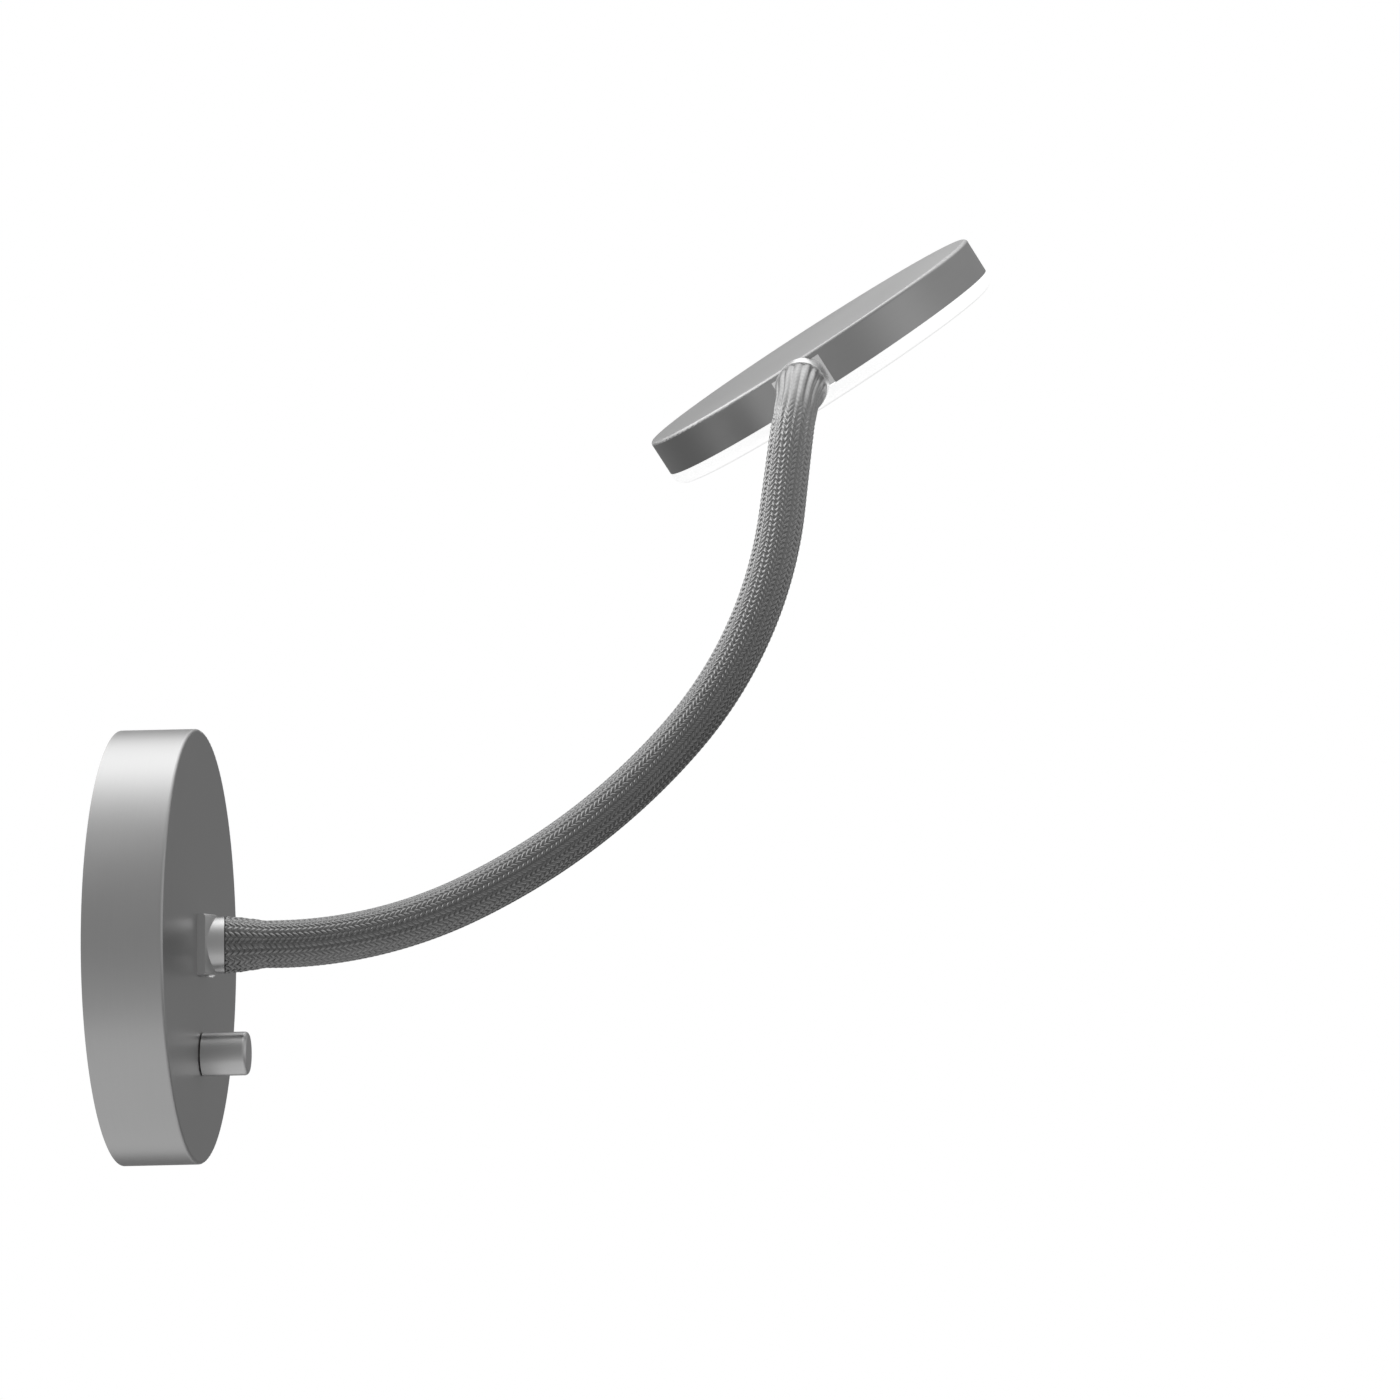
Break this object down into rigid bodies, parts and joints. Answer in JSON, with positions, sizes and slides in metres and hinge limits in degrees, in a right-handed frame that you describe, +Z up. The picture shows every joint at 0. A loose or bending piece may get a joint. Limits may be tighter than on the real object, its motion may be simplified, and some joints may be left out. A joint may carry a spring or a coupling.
{
  "type": "gooseneck wall sconce",
  "caption": "Wall sconce with a round canopy, a dimmer knob, a braided flexible neck and a flat disc head with an opal diffuser.",
  "frame": {"origin": "centre of the canopy's back face, on the wall, midway between the slots for the wall box", "axes": "+Z up, +Y into the wall, so the lamp reaches out along -Y; +X to the right of someone facing the wall"},
  "size_m": [0.2402, 0.2713, 0.3053],
  "materials": {
    "satin_nickel": "satin nickel plate, fine brushing",
    "nickel_aluminium": "die-cast aluminium, satin nickel plate",
    "zinc_steel": "zinc plate",
    "screw_steel": "plain steel",
    "green_screw": "green, to mark the ground",
    "plated_brass": "nickel plate over brass",
    "wiper_plastic": "moulded",
    "core_steel": "oiled steel",
    "braid": "tubular braid, charcoal with pale threads",
    "driver_plastic": "moulded, fine grain",
    "circuit_board": "solder mask",
    "terminal_plastic": "moulded",
    "foam_tape": "foam",
    "thermal_silicone": "soft silicone",
    "lead_insulation": "extruded",
    "white_metal_board": "white solder mask over an aluminium core",
    "led_phosphor": "phosphor over a white body",
    "opal_acrylic": "opal, satin outside"
  },
  "bodies": {
    "base": {"canopy": "satin_nickel", "canopy_grub_screws": "screw_steel", "dimmer_body": "zinc_steel", "dimmer_bush": "plated_brass", "dimmer_leads": "lead_insulation", "dimmer_nut": "plated_brass", "dimmer_washer": "zinc_steel", "driver_board": "circuit_board", "driver_case": "driver_plastic", "driver_lid": "driver_plastic", "driver_tape": "foam_tape", "ground_screw": "green_screw", "hub_block": "satin_nickel", "hub_nut": "zinc_steel", "hub_set_screw": "screw_steel", "hub_washer": "zinc_steel", "lamp_leads": "lead_insulation", "mains_leads": "lead_insulation", "mains_terminal": "terminal_plastic", "mounting_plate": "zinc_steel", "neck_core_0": "core_steel", "neck_fitting_base": "plated_brass"},
    "knob": {"dimmer_shaft": "screw_steel", "dimmer_wiper": "wiper_plastic", "knob": "satin_nickel", "knob_set_screw": "screw_steel"},
    "link_1": {"neck_core_1": "core_steel", "sleeve_1": "braid"},
    "link_2": {"neck_core_2": "core_steel", "sleeve_2": "braid"},
    "link_3": {"neck_core_3": "core_steel", "sleeve_3": "braid"},
    "link_4": {"neck_core_4": "core_steel", "sleeve_4": "braid"},
    "link_5": {"neck_core_5": "core_steel", "sleeve_5": "braid"},
    "link_6": {"neck_core_6": "core_steel", "sleeve_6": "braid"},
    "link_7": {"neck_core_7": "core_steel", "sleeve_7": "braid"},
    "link_8": {"neck_core_8": "core_steel", "sleeve_8": "braid"},
    "link_9": {"neck_core_9": "core_steel", "sleeve_9": "braid"},
    "head": {"neck_core_10": "core_steel", "sleeve_10": "braid", "neck_fitting_head": "plated_brass", "head_block": "satin_nickel", "head_set_screw": "screw_steel", "head_nut": "zinc_steel", "head_shell": "nickel_aluminium", "thermal_pad": "thermal_silicone", "led_board": "white_metal_board", "leds": "led_phosphor", "board_screws": "screw_steel", "head_leads": "lead_insulation", "diffuser": "opal_acrylic"}
  },
  "joints": [
    {"name": "knob_turn", "type": "hinge", "parent": "base", "child": "knob", "pos_m": [0, -0.03, -0.03175], "axis": [0, -1, 0], "range_deg": [-150, 150]},
    {"name": "neck_lower_1", "type": "hinge", "parent": "base", "child": "link_1", "pos_m": [0.00278, -0.04039, 0], "axis": [-0.9885, -0.1513, 0], "range_deg": [-20, 4], "deforming": ["sleeve_1"]},
    {"name": "neck_swing_1", "type": "hinge", "parent": "link_1", "child": "link_2", "pos_m": [0.00707, -0.06837, 0.00239], "axis": [-0.0285, 0.186, 0.9821], "range_deg": [-20, 14], "deforming": ["sleeve_2"]},
    {"name": "neck_lower_2", "type": "hinge", "parent": "link_2", "child": "link_3", "pos_m": [0.01118, -0.09524, 0.01067], "axis": [-0.9885, -0.1513, 0], "range_deg": [-20, 4], "deforming": ["sleeve_3"]},
    {"name": "neck_lower_3", "type": "hinge", "parent": "link_3", "child": "link_4", "pos_m": [0.01499, -0.12015, 0.02384], "axis": [-0.9885, -0.1513, 0], "range_deg": [-20, 4], "deforming": ["sleeve_4"]},
    {"name": "neck_swing_2", "type": "hinge", "parent": "link_4", "child": "link_5", "pos_m": [0.01848, -0.14298, 0.04043], "axis": [-0.0967, 0.6317, 0.7691], "range_deg": [-20, 14], "deforming": ["sleeve_5"]},
    {"name": "neck_upper_1", "type": "hinge", "parent": "link_5", "child": "link_6", "pos_m": [0.02159, -0.16328, 0.0601], "axis": [-0.9885, -0.1513, 0], "range_deg": [-20, 4], "deforming": ["sleeve_6"]},
    {"name": "neck_upper_2", "type": "hinge", "parent": "link_6", "child": "link_7", "pos_m": [0.02413, -0.17992, 0.08299], "axis": [-0.9885, -0.1513, 0], "range_deg": [-20, 4], "deforming": ["sleeve_7"]},
    {"name": "neck_swing_3", "type": "hinge", "parent": "link_7", "child": "link_8", "pos_m": [0.02589, -0.19139, 0.10892], "axis": [-0.1439, 0.9401, 0.3091], "range_deg": [-20, 14], "deforming": ["sleeve_8"]},
    {"name": "neck_upper_3", "type": "hinge", "parent": "link_8", "child": "link_9", "pos_m": [0.0268, -0.19731, 0.1367], "axis": [-0.9885, -0.1513, 0], "range_deg": [-20, 4], "deforming": ["sleeve_9"]},
    {"name": "neck_tip", "type": "hinge", "parent": "link_9", "child": "head", "pos_m": [0.03191, -0.20162, 0.16382], "axis": [0.0766, 0.9869, 0.1423], "range_deg": [-30, 25], "deforming": ["sleeve_10"]}
  ],
  "couplings": [
    {"joint": "neck_lower_2", "follows": "neck_lower_1", "ratio": 1},
    {"joint": "neck_lower_3", "follows": "neck_lower_1", "ratio": 1},
    {"joint": "neck_swing_2", "follows": "neck_swing_1", "ratio": 1},
    {"joint": "neck_swing_3", "follows": "neck_swing_1", "ratio": 1},
    {"joint": "neck_upper_2", "follows": "neck_upper_1", "ratio": 1},
    {"joint": "neck_upper_3", "follows": "neck_upper_1", "ratio": 1}
  ]
}
